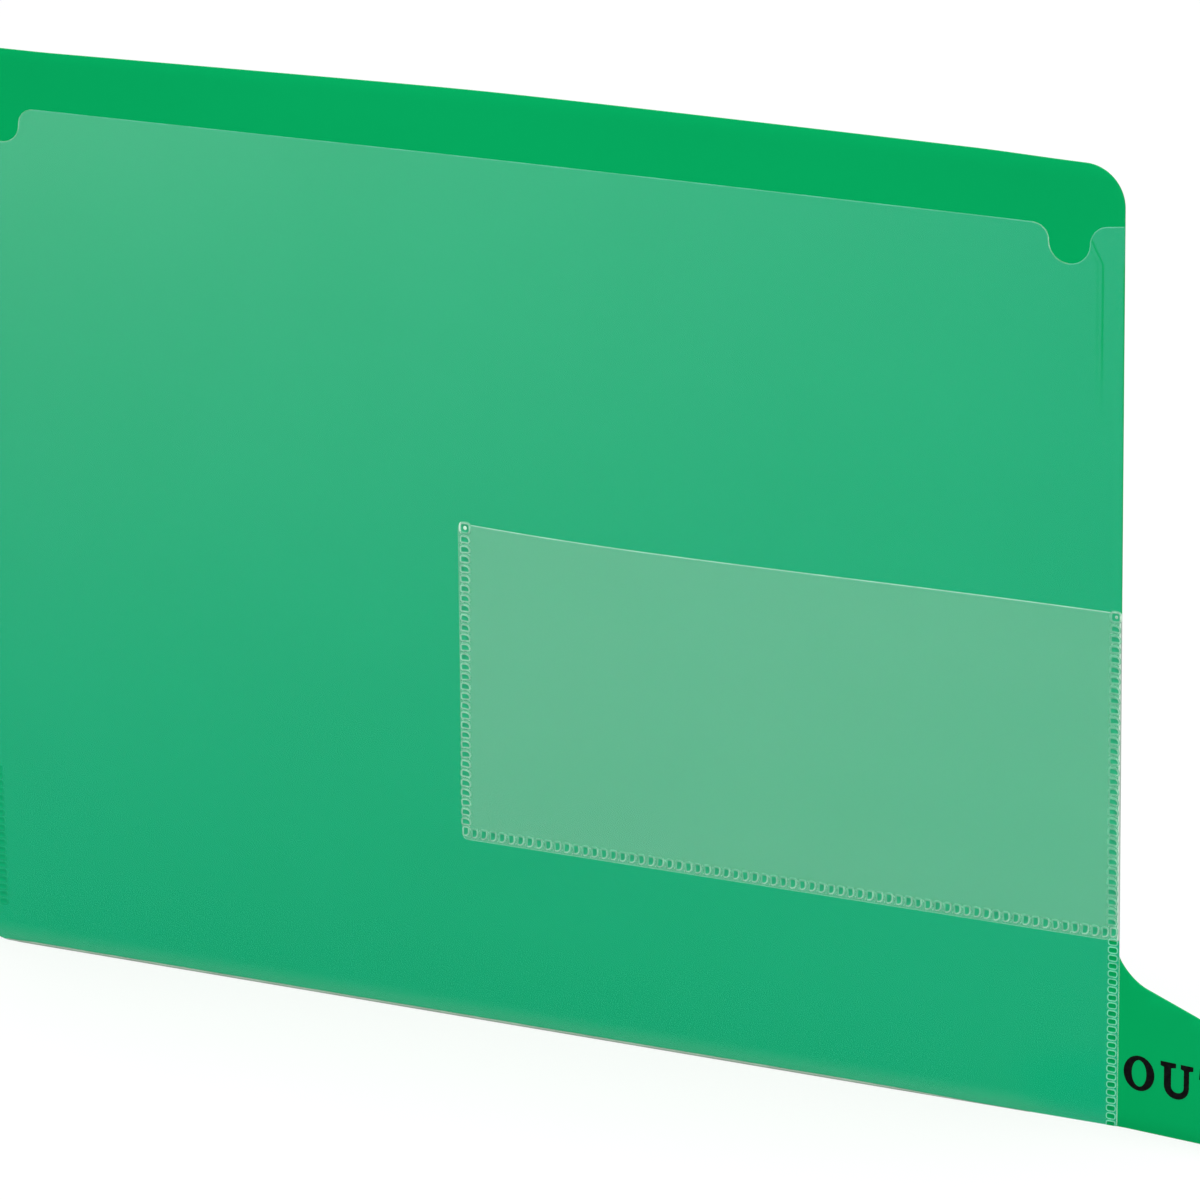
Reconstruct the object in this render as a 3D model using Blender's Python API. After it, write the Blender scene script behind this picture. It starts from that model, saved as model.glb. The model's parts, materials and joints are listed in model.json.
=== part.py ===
"""Out guide: a coloured polypropylene divider sheet with an end tab and two clear welded pockets.

The sheet stands upright on its lower long edge. X runs along the width, towards the tab, Z runs up,
and the pockets face -Y. The origin is under the middle of the whole guide. Lengths are in metres.

Each pocket is one clear film. Its welded margins stay on the sheet and its free part is a flap that
flexes open at the mouth, so margins and flap are separate solids with a narrow slit between them.
"""

import math

import bmesh
import bpy

MM = 0.001

# Guide sheet
BODY_WIDTH = 319.0 * MM
BODY_HEIGHT = 241.3 * MM
SHEET_THICKNESS = 0.5 * MM
CORNER_RADIUS = 10.5 * MM

# End tab at the foot of the sheet's right edge
TAB_REACH = 34.9 * MM
TAB_ROOT_HEIGHT = 40.3 * MM
TAB_SLOPE = math.radians(18.9)
TAB_ROOT_FILLET = 12.0 * MM
TAB_NOSE_RADIUS = 5.0 * MM

# Clear film, how far its welds stand out behind it, and the clearances
FILM_THICKNESS = 0.2 * MM
WELD_PAD = 0.2 * MM
WELD_RECESS = 0.08 * MM
SEAT_GAP = 0.3 * MM
SLIT = 0.3 * MM

# Large pocket: one film over the sheet, open along its top edge
MOUTH_DROP = 15.6 * MM
FILM_LEFT_MARGIN = 3.8 * MM
NOTCH_INSET = 13.5 * MM
NOTCH_RADIUS = 5.1 * MM
NOTCH_DEPTH = 9.6 * MM
NOTCH_INNER_SHOULDER = 4.5 * MM
NOTCH_OUTER_SHOULDER = 3.6 * MM
CREASE_RISE = 4.0 * MM
SEAL_WIDTH = 1.0 * MM

# Small pocket: a second film welded on the large one, flush with the sheet's right edge
SMALL_WIDTH = 175.9 * MM
SMALL_HEIGHT = 83.3 * MM
SMALL_BOTTOM = 48.3 * MM
SMALL_SEAM = 3.6 * MM

# Weld spots: size across the seam, size along it, spacing, and distance from the film's edge
SMALL_WELD_ACROSS = 1.9 * MM
SMALL_WELD_ALONG = 1.15 * MM
SMALL_WELD_PITCH = 2.57 * MM
SMALL_WELD_INSET = 1.85 * MM
FOOT_WELD_ACROSS = 1.85 * MM
FOOT_WELD_ALONG = 0.85 * MM
FOOT_WELD_PITCH = 2.05 * MM
FOOT_WELD_INSET = 2.0 * MM
LEFT_WELD_INSET = 4.8 * MM
WELD_CORNER = 0.3 * MM

# Fineness of the meshes
ARC_STEP = math.radians(15)
MERGE_DISTANCE = 0.01 * MM

# Places worked out from the sizes above
LEFT = -(BODY_WIDTH + TAB_REACH) / 2
RIGHT = LEFT + BODY_WIDTH
NOSE = RIGHT + TAB_REACH
PLY_GAP = SEAT_GAP + WELD_PAD
STACK = SHEET_THICKNESS + 2 * (PLY_GAP + FILM_THICKNESS)
SHEET_BACK = STACK / 2
SHEET_FRONT = SHEET_BACK - SHEET_THICKNESS
LARGE_BACK = SHEET_FRONT - PLY_GAP
SMALL_BACK = LARGE_BACK - FILM_THICKNESS - PLY_GAP
MOUTH = BODY_HEIGHT - MOUTH_DROP
FILM_LEFT = LEFT + FILM_LEFT_MARGIN
SMALL_LEFT = RIGHT - SMALL_WIDTH
SMALL_TOP = SMALL_BOTTOM + SMALL_HEIGHT
CREASE = SMALL_TOP + CREASE_RISE
SIDE_HOLD = NOTCH_INSET - NOTCH_RADIUS - NOTCH_OUTER_SHOULDER
HALF_SLIT = SLIT / 2

GREEN = (0.0, 0.381, 0.102, 1.0)
CLEAR = (0.55, 0.80, 0.68, 1.0)


def clear_scene():
    """Remove every object, so the script gives the same model each run."""
    for scene_object in list(bpy.data.objects):
        bpy.data.objects.remove(scene_object, do_unlink=True)


def new_collection(name):
    """Add a collection to the scene."""
    collection = bpy.data.collections.new(name)
    bpy.context.scene.collection.children.link(collection)
    return collection


def plastic(name, colour, roughness, alpha=1.0):
    """A Principled material for one kind of plastic."""
    material = bpy.data.materials.new(name)
    material.use_nodes = True
    shader = material.node_tree.nodes["Principled BSDF"]
    shader.inputs["Base Color"].default_value = colour
    shader.inputs["Roughness"].default_value = roughness
    shader.inputs["Metallic"].default_value = 0.0
    shader.inputs["Alpha"].default_value = alpha
    return material


def corner_arc(before, corner, after, radius):
    """Points of the arc that rounds a corner between its two neighbours."""
    x, z = corner
    to_before = math.atan2(before[1] - z, before[0] - x)
    to_after = math.atan2(after[1] - z, after[0] - x)
    opening = math.remainder(to_after - to_before, 2 * math.pi)
    middle = to_before + opening / 2
    reach = radius / math.sin(abs(opening) / 2)
    centre_x = x + reach * math.cos(middle)
    centre_z = z + reach * math.sin(middle)
    turn = math.copysign(math.pi - abs(opening), opening)
    steps = max(2, round(abs(turn) / ARC_STEP))
    angles = [middle + math.pi + turn / 2 - turn * step / steps for step in range(steps + 1)]
    return [(centre_x + radius * math.cos(angle), centre_z + radius * math.sin(angle))
            for angle in angles]


def round_corners(corners):
    """Turn (x, z, radius) corners, listed round the outline, into points."""
    points = []
    for index, (x, z, radius) in enumerate(corners):
        before = corners[index - 1][:2]
        after = corners[(index + 1) % len(corners)][:2]
        points += corner_arc(before, (x, z), after, radius) if radius > 0 else [(x, z)]
    return [point for index, point in enumerate(points)
            if math.dist(point, points[index - 1]) > MERGE_DISTANCE]


def rectangle(left, bottom, right, top):
    """The four square corners of a rectangle, anticlockwise."""
    return [(left, bottom), (right, bottom), (right, top), (left, top)]


def weld_spot(x, z, width, height):
    """Outline of one weld spot: an oblong with cut corners."""
    across = width / 2
    along = height / 2
    end = across - WELD_CORNER
    side = along - WELD_CORNER
    octagon = [(-end, -along), (end, -along), (across, -side), (across, side),
               (end, along), (-end, along), (-across, side), (-across, -side)]
    return [(x + step_x, z + step_z) for step_x, step_z in octagon]


def row(start, end, pitch):
    """Centres of a weld row, centred between start and end."""
    count = max(1, math.floor((end - start) / pitch))
    first = (start + end - (count - 1) * pitch) / 2
    return [first + index * pitch for index in range(count)]


def flat_solid(name, outlines, front, back, collection, axis_z=0.0):
    """A mesh between two depths from closed outlines. Its origin is on its middle plane at axis_z."""
    curve = bpy.data.curves.new(name, "CURVE")
    curve.dimensions = "2D"
    curve.fill_mode = "BOTH"
    curve.extrude = (back - front) / 2
    for outline in outlines:
        spline = curve.splines.new("POLY")
        spline.points.add(len(outline) - 1)
        for point, (x, z) in zip(spline.points, outline):
            point.co = (x, z - axis_z, 0.0, 1.0)
        spline.use_cyclic_u = True
    drawing = bpy.data.objects.new(name + "_outline", curve)
    drawing.location = (0.0, (front + back) / 2, axis_z)
    drawing.rotation_euler = (math.pi / 2, 0.0, 0.0)
    collection.objects.link(drawing)
    bpy.context.view_layer.update()

    mesh = bpy.data.meshes.new_from_object(drawing.evaluated_get(bpy.context.evaluated_depsgraph_get()))
    welded = bmesh.new()
    welded.from_mesh(mesh)
    bmesh.ops.remove_doubles(welded, verts=welded.verts, dist=MERGE_DISTANCE)
    bmesh.ops.recalc_face_normals(welded, faces=welded.faces)
    welded.to_mesh(mesh)
    welded.free()
    solid = bpy.data.objects.new(name, mesh)
    solid.matrix_world = drawing.matrix_world
    collection.objects.link(solid)
    bpy.data.objects.remove(drawing, do_unlink=True)
    return solid


def shape_by(solid, tool, operation):
    """Join a tool's bodies to a solid, or cut them from it."""
    tool.hide_render = True
    tool.display_type = "WIRE"
    boolean = solid.modifiers.new(tool.name, "BOOLEAN")
    boolean.operation = operation
    boolean.solver = "EXACT"
    boolean.object = tool


class Film:
    """One ply of clear film: makes its solids at one depth, with their seals and pressed welds."""

    def __init__(self, back, material, parts, tools):
        self.back = back
        self.front = back - FILM_THICKNESS
        self.seat = back + WELD_PAD
        self.material = material
        self.parts = parts
        self.tools = tools

    def piece(self, name, outline, axis_z=0.0):
        """A plain stretch of the film."""
        solid = flat_solid(name, [outline], self.front, self.back, self.parts, axis_z)
        solid.data.materials.append(self.material)
        return solid

    def fuse(self, solid, outlines):
        """Stand the fused areas out behind the film, down to the ply that they are welded to."""
        middle = (self.front + self.back) / 2
        pads = flat_solid(solid.name + "_pads", outlines, middle, self.seat, self.tools)
        shape_by(solid, pads, "UNION")

    def press(self, solid, outlines):
        """Sink the welding tool's marks into the film's face."""
        floor = self.front + WELD_RECESS
        marks = flat_solid(solid.name + "_marks", outlines, self.front - FILM_THICKNESS, floor, self.tools)
        shape_by(solid, marks, "DIFFERENCE")


def sheet_outline():
    """Body with round corners, and the tab that slopes down from its root."""
    nose_height = TAB_ROOT_HEIGHT - TAB_REACH * math.tan(TAB_SLOPE)
    return round_corners([
        (LEFT, 0.0, CORNER_RADIUS),
        (NOSE, 0.0, TAB_NOSE_RADIUS),
        (NOSE, nose_height, TAB_NOSE_RADIUS),
        (RIGHT, TAB_ROOT_HEIGHT, TAB_ROOT_FILLET),
        (RIGHT, BODY_HEIGHT, CORNER_RADIUS),
        (LEFT, BODY_HEIGHT, CORNER_RADIUS),
    ])


def flap_outline():
    """Free upper part of the large film, with a thumb notch near each end of its mouth."""
    left = FILM_LEFT + SIDE_HOLD + HALF_SLIT
    right = RIGHT - SIDE_HOLD - HALF_SLIT
    floor = MOUTH - NOTCH_DEPTH
    wall = NOTCH_DEPTH - NOTCH_RADIUS
    inner = min(NOTCH_INNER_SHOULDER, wall)
    outer = min(NOTCH_OUTER_SHOULDER, wall) - HALF_SLIT
    notch_right = RIGHT - NOTCH_INSET
    notch_left = FILM_LEFT + NOTCH_INSET
    return round_corners([
        (left, CREASE + HALF_SLIT, 0.0),
        (right, CREASE + HALF_SLIT, 0.0),
        (right, MOUTH, 0.0),
        (notch_right + NOTCH_RADIUS, MOUTH, outer),
        (notch_right + NOTCH_RADIUS, floor, NOTCH_RADIUS),
        (notch_right - NOTCH_RADIUS, floor, NOTCH_RADIUS),
        (notch_right - NOTCH_RADIUS, MOUTH, inner),
        (notch_left + NOTCH_RADIUS, MOUTH, inner),
        (notch_left + NOTCH_RADIUS, floor, NOTCH_RADIUS),
        (notch_left - NOTCH_RADIUS, floor, NOTCH_RADIUS),
        (notch_left - NOTCH_RADIUS, MOUTH, outer),
        (left, MOUTH, 0.0),
    ])


def build_sheet(parts):
    """The coloured sheet that everything is welded to."""
    sheet = flat_solid("guide_sheet", [sheet_outline()], SHEET_FRONT, SHEET_BACK, parts)
    sheet.data.materials.append(plastic("green_poly", GREEN, 0.38))


def build_large_pocket(parts, tools):
    """Large film: fixed panel with foot welds and edge seals, side margins, and the flap."""
    film = Film(LARGE_BACK, plastic("clear_film", CLEAR, 0.30, 0.35), parts, tools)
    panel_top = CREASE - HALF_SLIT
    panel = film.piece("large_pocket_panel", round_corners([
        (FILM_LEFT, 0.0, CORNER_RADIUS - FILM_LEFT_MARGIN),
        (RIGHT, 0.0, 0.0),
        (RIGHT, panel_top, 0.0),
        (FILM_LEFT, panel_top, 0.0),
    ]))
    right_row = [(RIGHT - FOOT_WELD_INSET, z)
                 for z in row(SEAL_WIDTH, SMALL_BOTTOM, FOOT_WELD_PITCH)]
    left_row = [(FILM_LEFT + LEFT_WELD_INSET, z)
                for z in row(CORNER_RADIUS, SMALL_BOTTOM, FOOT_WELD_PITCH)]
    spots = [weld_spot(x, z, FOOT_WELD_ACROSS, FOOT_WELD_ALONG) for x, z in left_row + right_row]
    seals = [
        rectangle(LEFT + CORNER_RADIUS, 0.0, RIGHT, SEAL_WIDTH),
        rectangle(FILM_LEFT, SMALL_BOTTOM, FILM_LEFT + SEAL_WIDTH, panel_top),
        rectangle(RIGHT - SEAL_WIDTH, SMALL_BOTTOM, RIGHT, panel_top),
    ]
    film.fuse(panel, spots + seals)
    film.press(panel, spots)

    margin_bottom = CREASE + HALF_SLIT
    for side, edge, sense in (("left", FILM_LEFT, 1), ("right", RIGHT, -1)):
        low, high = sorted((edge, edge + sense * (SIDE_HOLD - HALF_SLIT)))
        margin = film.piece(f"large_pocket_{side}_margin", rectangle(low, margin_bottom, high, MOUTH))
        low, high = sorted((edge, edge + sense * SEAL_WIDTH))
        film.fuse(margin, [rectangle(low, margin_bottom, high, MOUTH)])
    film.piece("large_pocket_flap", flap_outline(), CREASE)


def build_small_pocket(parts, tools):
    """Small film: three welded seams round the flap."""
    film = Film(SMALL_BACK, plastic("clear_card_film", CLEAR, 0.32, 0.45), parts, tools)
    inner_left = SMALL_LEFT + SMALL_SEAM
    inner_right = RIGHT - SMALL_SEAM
    inner_bottom = SMALL_BOTTOM + SMALL_SEAM
    film.piece("small_pocket_flap", rectangle(inner_left + HALF_SLIT, inner_bottom + HALF_SLIT,
                                              inner_right - HALF_SLIT, SMALL_TOP), inner_bottom)

    heights = row(SMALL_BOTTOM, SMALL_TOP, SMALL_WELD_PITCH)
    level = SMALL_BOTTOM + SMALL_WELD_INSET
    upright_spot = (SMALL_WELD_ACROSS, SMALL_WELD_ALONG)
    level_spot = (SMALL_WELD_ALONG, SMALL_WELD_ACROSS)
    seams = {
        "left": (rectangle(SMALL_LEFT, SMALL_BOTTOM, inner_left - HALF_SLIT, SMALL_TOP),
                 [(SMALL_LEFT + SMALL_WELD_INSET, z) for z in heights], upright_spot),
        "right": (rectangle(inner_right + HALF_SLIT, SMALL_BOTTOM, RIGHT, SMALL_TOP),
                  [(RIGHT - SMALL_WELD_INSET, z) for z in heights], upright_spot),
        "bottom": (rectangle(inner_left + HALF_SLIT, SMALL_BOTTOM,
                             inner_right - HALF_SLIT, inner_bottom - HALF_SLIT),
                   [(x, level) for x in row(inner_left, inner_right, SMALL_WELD_PITCH)], level_spot),
    }
    for side, (strip, centres, size) in seams.items():
        seam = film.piece(f"small_pocket_{side}_seam", strip)
        spots = [weld_spot(x, z, *size) for x, z in centres]
        film.fuse(seam, spots)
        film.press(seam, spots)


def main():
    """Build the whole guide."""
    clear_scene()
    parts = new_collection("out_guide")
    tools = new_collection("weld_tools")
    build_sheet(parts)
    build_large_pocket(parts, tools)
    build_small_pocket(parts, tools)


main()
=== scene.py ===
"""Looks for the out guide: green sheet, two clear pockets, pressed welds, tab legend and a plain stage.

Everything is in metres, in the frame of the packed model. X runs towards the tab, Z up, and the
pockets face -Y.
"""

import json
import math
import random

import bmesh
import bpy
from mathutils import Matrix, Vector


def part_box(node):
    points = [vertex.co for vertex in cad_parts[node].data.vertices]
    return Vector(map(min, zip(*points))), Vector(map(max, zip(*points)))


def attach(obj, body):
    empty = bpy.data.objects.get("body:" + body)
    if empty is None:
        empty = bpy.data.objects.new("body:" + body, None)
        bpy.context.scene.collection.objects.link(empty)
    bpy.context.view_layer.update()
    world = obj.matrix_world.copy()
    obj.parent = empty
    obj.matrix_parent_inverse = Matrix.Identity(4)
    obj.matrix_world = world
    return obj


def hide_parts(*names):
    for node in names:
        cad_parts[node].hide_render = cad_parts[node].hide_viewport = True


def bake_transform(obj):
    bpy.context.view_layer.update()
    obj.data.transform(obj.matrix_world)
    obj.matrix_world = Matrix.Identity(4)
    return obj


bl_info = {
    "name": "Out guide looks",
    "version": (1, 0, 0),
    "blender": (4, 5, 0),
    "location": "View3D > Sidebar > Out Guide",
    "description": "Dresses the packed out guide with its films, welds, legend and a plain stage",
    "category": "Object",
}

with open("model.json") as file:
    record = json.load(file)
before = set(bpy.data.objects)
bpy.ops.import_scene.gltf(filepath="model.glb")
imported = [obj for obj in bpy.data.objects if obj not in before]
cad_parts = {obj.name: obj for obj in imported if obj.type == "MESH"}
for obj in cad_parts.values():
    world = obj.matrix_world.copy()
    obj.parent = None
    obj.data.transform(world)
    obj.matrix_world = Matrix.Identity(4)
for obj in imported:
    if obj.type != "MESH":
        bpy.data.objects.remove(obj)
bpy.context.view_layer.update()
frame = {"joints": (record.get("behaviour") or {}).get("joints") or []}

MM = 0.001

# Places read from the packed model
SHEET_LOW, SHEET_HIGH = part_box("guide_sheet")
PANEL_LOW, PANEL_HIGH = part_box("large_pocket_panel")
FLAP_LOW, FLAP_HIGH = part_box("large_pocket_flap")
SEAM_LOW, SEAM_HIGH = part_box("small_pocket_left_seam")
HINGES = {joint["name"]: joint["pos_m"][2] for joint in frame["joints"]}
LEFT, NOSE, TOP = SHEET_LOW.x, SHEET_HIGH.x, SHEET_HIGH.z
RIGHT = PANEL_HIGH.x
FILM_LEFT = PANEL_LOW.x
MOUTH = FLAP_HIGH.z
CARD_LEFT, CARD_FOOT, CARD_MOUTH = SEAM_LOW.x, SEAM_LOW.z, SEAM_HIGH.z

# Order of the plies, from the sheet's face forwards
PLY_GAP = 0.03 * MM
FILM_THICKNESS = 0.2 * MM
SHEET_FACE = SHEET_LOW.y
FILM_FACE = SHEET_FACE - PLY_GAP - FILM_THICKNESS
CARD_FACE = FILM_FACE - PLY_GAP - FILM_THICKNESS

# How a sheet bows: steeper left of the ridge, with a soft ridge, and held at both ends
BOW_LEFT_SLOPE = 1.60
BOW_RIGHT_SLOPE = 0.953
BOW_RIDGE = 0.204
BOW_END_FADE = 0.245
BOW_GROWTH = 2.5

# How finely a ply is cut so that it can bow, the card pocket's welded margin, and the merging distance
GRID = 4.0 * MM
FOLD_GRID = 0.5 * MM
SEAM_WIDTH = 3.7 * MM
SMALLEST = 0.001 * MM


def number(name, description, default, **options):
    """A number property."""
    return bpy.props.FloatProperty(name=name, description=description, default=default, **options)


def length(name, description, millimetres):
    """A length property, given in millimetres and kept in metres."""
    return number(name, description, millimetres * MM, unit="LENGTH", precision=5)


def angle(name, description, degrees):
    """An angle property, given in degrees."""
    return number(name, description, math.radians(degrees), subtype="ANGLE")


def share(name, description, default):
    """A share between nothing and all."""
    return number(name, description, default, min=0.0, max=1.0, subtype="FACTOR")


def colour(name, description, default):
    """A linear colour property."""
    return bpy.props.FloatVectorProperty(name=name, description=description, default=default,
                                         size=3, min=0.0, max=1.0, subtype="COLOR")


class SheetSettings(bpy.types.PropertyGroup):
    """Sizes and colour of the green sheet"""

    corner: length("Corner radius", "Radius of the outer corners", 10.0)
    left_fall: length("Left fall", "Fall of the top edge at its left end", 1.0)
    right_fall: length("Right fall", "Fall of the top edge at its right end", 0.33)
    edge_in: length("Edge in", "How far in the right edge stands at its top", 0.31)
    edge_out: length("Edge out", "How far out the right edge stands above the tab", 0.58)
    tab_start: length("Tab start", "Height where the tab leaves the body", 44.31)
    tab_level: length("Tab level", "Height of the tab's upper edge, carried on to the body", 39.94)
    tab_slope: angle("Tab slope", "Fall of the tab's upper edge", 19.03)
    root_slope: angle("Root slope", "Fall of the tab's edge where it leaves the body", 69.3)
    tab_fillet: length("Tab fillet", "Radius between the root and the upper edge", 12.4)
    tab_kink: length("Tab kink", "Radius where the tab leaves the body", 2.4)
    tab_nose: length("Tab nose radius", "Radius of the tab's outer corners", 5.0)
    tab_turn: angle("Tab turn", "How far the tab bends forward", 6.0)
    tab_fold: length("Tab fold", "Start of the tab's bend, from the body's edge", 0.9)
    fold_width: length("Fold width", "Width of the tab's bend", 3.0)
    bow_depth: length("Bow depth", "How far back the top edge bows", 7.0)
    bow_reach: length("Bow reach", "Deepest place of the bow, from the right edge", 165.9)
    edge_round: length("Edge round", "Rounding of the cut edges", 0.1)
    green: colour("Green", "Colour of the dyed sheet", (0.0, 0.381, 0.108))


class LargePocketSettings(bpy.types.PropertyGroup):
    """Sizes, haze and painted reflection of the large pocket's film"""

    mouth_drop: length("Mouth drop", "Fall of the cut mouth below the flap's top", 0.24)
    notch_inset: length("Right notch inset", "Right notch's centre from the film's side", 14.05)
    left_notch_inset: length("Left notch inset", "Left notch's centre from the film's side", 13.05)
    notch_radius: length("Notch radius", "Radius of the notch's floor", 5.2)
    notch_depth: length("Notch depth", "Depth of the notch below the mouth", 9.15)
    inner_shoulder: length("Inner shoulder", "Round from the mouth into the notch", 4.3)
    outer_shoulder: length("Outer shoulder", "Round from the notch to the side margin", 4.7)
    ear_start: length("Ear start", "Rise of the mouth beside the notch", 0.25)
    ear_rise: length("Ear rise", "Rise of the mouth at the film's side", 1.25)
    tab_overlap: length("Tab overlap", "How far the film stands out where the tab starts", 0.93)
    foot_overlap: length("Foot overlap", "How far the film reaches on to the tab at its foot", 0.81)
    bow_depth: length("Bow depth", "How far back the mouth bows", 1.7)
    # The light lines along the cut mouth, the notches and the film's edge by the tab are painted highlights
    lip: length("Lip", "Width of the light line along the cut mouth", 0.25)
    # The tab side's share, the haze at the mouth and the veils carry a painted reflection that grows paler
    # towards the mouth and away from the tab; the veil by the tab is plainer
    tab_side_reflection_share: share("Haze at the tab side", "Share of the haze that is left at the tab side", 0.33)
    haze_low: share("Haze at the foot", "Cover of one face near the foot", 0.0726)
    haze_high: share("Haze at the mouth", "Cover of one face at the far end of the mouth", 0.1056)
    veil_and_reflection_low: colour("Veil at the foot", "Colour of the haze near the foot", (0.055, 0.62, 0.69))
    plain_veil_by_tab: colour("Veil by the tab", "Colour of the haze where the film lies flat", (0.0, 0.66, 0.70))
    veil_and_reflection_high: colour("Veil at the mouth", "Colour of the haze at the mouth's far end", (0.43, 1.0, 0.87))
    # The foot bead's grey tint is partly the fused bead's own colour and partly painted shade along the foot
    foot_bead: length("Foot bead", "Radius of the fused bead along the foot", 0.32)
    bead_stop: length("Bead stop", "Where the foot bead runs out, from the tab side", 22.0)
    bead_tint: colour("Bead tint", "Colour of the foot bead", (0.31, 0.41, 0.33))
    edge_highlight_tint: colour("Edge tint", "Colour of the cut mouth", (0.40, 1.0, 0.90))
    notch_highlight_tint: colour("Notch tint", "Colour of the notches' edge and by the tab", (0.55, 0.95, 0.78))


class CardPocketSettings(bpy.types.PropertyGroup):
    """Sizes and haze of the card pocket's film"""

    high_inset: length("Left edge at the mouth", "How far in the left edge is at the mouth", 0.22)
    low_inset: length("Left edge at the foot", "How far in the left edge is at the foot", 0.05)
    high_overhang: length("Overhang at the mouth", "Overhang on the right, at the mouth", 0.51)
    low_overhang: length("Overhang at the foot", "Overhang on the right, at the foot", 0.88)
    mouth_tilt: length("Mouth tilt", "Rise of the mouth at its right end", 0.12)
    corner: length("Corner", "Radius of the corners", 1.4)
    bulge: length("Bulge", "How far the empty mouth stands open", 2.6)
    bulge_place: share("Bulge place", "Where along the mouth it stands open most", 0.30)
    # The light line along the card's cut mouth is a painted highlight
    lip: length("Lip", "Width of the light line along the cut mouth", 0.23)
    bead: length("Bead", "Width of the pale fused edge on the right", 0.62)
    haze_low: share("Haze at the right", "Cover of one face near the tab side", 0.089)
    haze_high: share("Haze at the left", "Cover of one face near the left seam", 0.099)
    veil: colour("Veil", "Colour of the haze", (0.63, 0.785, 0.705))
    edge_highlight_tint: colour("Edge tint", "Colour of the cut mouth", (0.50, 0.86, 0.66))
    bead_tint: colour("Bead tint", "Colour of the fused edge", (0.57, 0.76, 0.63))
    rim_tint: colour("Bead rim tint", "Colour of the fused edge's outer line", (0.36, 0.43, 0.37))


class WeldSettings(bpy.types.PropertyGroup):
    """Sizes, places and colours of the pressed weld marks, with painted highlights and painted shade on their
    rims
    """

    card_across: length("Card mark width", "Clear middle of a card mark, across the seam", 1.85)
    card_along: length("Card mark height", "Clear middle of a card mark, along the seam", 1.08)
    card_pitch: length("Card pitch", "Spacing of the card marks", 2.57)
    card_rim: length("Card rim width", "Width of the raised rim round a card mark", 0.58)
    left_high: length("Left row at the mouth", "Left row from the pocket's edge, at the mouth", 2.14)
    left_low: length("Left row at the foot", "Left row from the pocket's edge, at the foot", 1.13)
    right_inset: length("Right row", "Right row from the sheet's edge", 1.08)
    row_height: length("Bottom row", "Height of the bottom row above the pocket's foot", 1.9)
    row_start: length("Row start", "First mark of the bottom row, from the pocket's edge", 3.45)
    corner_size: length("Corner mark", "Clear middle of the marks at the mouth's ends", 1.9)
    corner_rim: length("Corner rim", "Width of the rim round a corner mark", 0.72)
    corner_drop: length("Corner drop", "Corner marks' distance below the mouth", 0.98)
    corner_step: length("Corner step", "Distance from a corner mark to the next mark", 2.97)
    foot_across: length("Foot mark width", "Clear middle of a foot mark, across the row", 1.9)
    foot_along: length("Foot mark height", "Clear middle of a foot mark, along the row", 1.06)
    foot_pitch: length("Foot pitch", "Spacing of the foot marks", 2.06)
    foot_first: length("First foot mark", "Height of the lowest foot mark", 0.47)
    foot_rim: length("Foot rim width", "Width of the raised rim round a foot mark", 0.44)
    foot_high: length("Foot row at its top", "Right foot row from the sheet's edge, at its top", 0.83)
    foot_low: length("Foot row at its foot", "Right foot row from the sheet's edge, at its foot", 0.85)
    left_inset: length("Left foot row", "Left foot row from the film's edge", 4.8)
    rise: length("Rise", "Height of the raised rim", 0.07)
    # Rim colours are painted light: the lit rims and the bright spots are painted highlights, the rim slopes
    # and the dents are painted shade
    card_lit_rim: colour("Card rim", "Colour of a card mark's rim", (0.33, 0.63, 0.45))
    card_slope: colour("Card rim slope", "Colour beside a card mark's rim", (0.15, 0.495, 0.30))
    card_tint: colour("Card window", "Colour of a card mark's clear middle", (0.026, 0.395, 0.187))
    bright: colour("Bright spot", "Colour of the corner marks' rims and spots", (0.60, 0.85, 0.67))
    dent_shade: colour("Dent", "Colour of the dents between marks", (0.045, 0.296, 0.156))
    foot_lit_rim: colour("Foot rim", "Colour of a foot mark's rim", (0.26, 0.70, 0.46))
    foot_slope: colour("Foot rim slope", "Colour beside a foot mark's rim", (0.038, 0.485, 0.255))
    foot_tint: colour("Foot window", "Colour of a foot mark's clear middle", (0.0, 0.33, 0.088))
    faint_lit_rim: colour("Faint rim", "Colour of the left foot row's rims", (0.02, 0.405, 0.19))
    faint_tint: colour("Faint window", "Colour of the left foot row's windows", (0.005, 0.375, 0.15))


class LegendSettings(bpy.types.PropertyGroup):
    """Sizes and colour of the tab's legend"""

    cap: length("Cap height", "Height of the capitals", 9.05)
    baseline: length("Baseline", "Height of the baseline", 10.48)
    print_depth: length("Print depth", "Thickness of the ink", 0.02)
    ink: colour("Ink", "Colour of the ink", (0.007, 0.007, 0.007))


class StageSettings(bpy.types.PropertyGroup):
    """Camera, light and floor"""

    azimuth: angle("Azimuth", "Camera's turn towards the tab", 25.5654)
    elevation: angle("Elevation", "Camera's height above the horizon", 18.5815)
    roll: angle("Roll", "Camera's turn about its own axis", -0.7027)
    distance: length("Distance", "Camera's distance from its aim", 1712.11)
    aim_in: length("Aim across", "Camera's aim, from the body's right edge", 136.747)
    aim_z: length("Aim height", "Camera's aim, above the floor", 116.893)
    lens: number("Lens", "Focal length on a 36 mm sensor", 208.811, unit="CAMERA")
    sky: number("Sky", "Strength of the even light all round", 0.55)
    front: number("Front lamp", "Power of the soft front lamp", 20.5, unit="POWER")
    top: number("Top lamp", "Power of the soft top lamp", 50.5, unit="POWER")
    back: number("Back lamp", "Power of the soft back lamp", 12.0, unit="POWER")
    floor_bounce: share("Floor bounce", "Share of the light that the floor throws back", 0.48)
    floor_tone: share("Floor tone", "Tone of the floor as it is seen", 0.95)
    floor_glow: share("Floor glow", "Share of the near floor that is shown as plain white", 0.72)


def tone(base, factor):
    """A lighter or darker version of a colour."""
    return tuple(min(1.0, part * factor) for part in base)


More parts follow.
